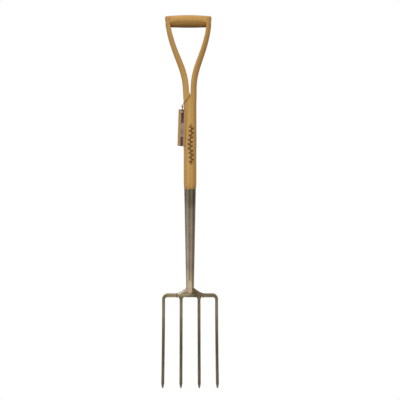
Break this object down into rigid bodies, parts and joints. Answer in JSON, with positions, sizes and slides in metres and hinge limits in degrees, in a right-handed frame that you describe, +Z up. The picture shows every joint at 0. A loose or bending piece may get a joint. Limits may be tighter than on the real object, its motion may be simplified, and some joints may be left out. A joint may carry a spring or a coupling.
{
  "type": "digging fork",
  "caption": "Garden digging fork: tines on a forged yoke, a tapered steel socket, a round ash shaft bent into a wishbone with a crosspiece grip, and a card tag on a string.",
  "frame": {"origin": "on the shaft's axis, at the height of the tine tips, which is the bottom centre of the fork", "axes": "+Z up the shaft towards the grip, -Y towards the front of the fork, +X to the right as seen from the front"},
  "size_m": [0.1734, 0.0426, 1.12],
  "materials": {
    "ash": "waxed straight-grained ash",
    "grip_wood": "lacquered ash, worn smooth",
    "stainless": "satin polished stainless steel",
    "tine_steel": "ground and tumbled stainless steel",
    "rivet_steel": "dull steel",
    "card": "uncoated kraft board with a printed band",
    "jute": "twisted jute"
  },
  "bodies": {
    "fork": {"shaft": "ash", "grip": "grip_wood", "grip_rivet": "rivet_steel", "grip_rivet_washers": "rivet_steel", "crotch_rivet": "rivet_steel", "crotch_rivet_washers": "rivet_steel", "socket": "stainless", "socket_rivet": "rivet_steel", "yoke": "stainless", "outer_tine_left": "tine_steel", "outer_tine_right": "tine_steel", "inner_tine_left": "tine_steel", "inner_tine_right": "tine_steel", "tine_welds": "tine_steel", "tag_string": "jute", "tag_knot": "jute"},
    "tag": {"hang_tag": "card"}
  },
  "joints": [
    {"name": "tag_swing", "type": "hinge", "parent": "fork", "child": "tag", "pos_m": [-0.023, -0.0111, 0.832], "axis": [0.4226, 0.9063, 0], "range_deg": [0, 40]}
  ]
}
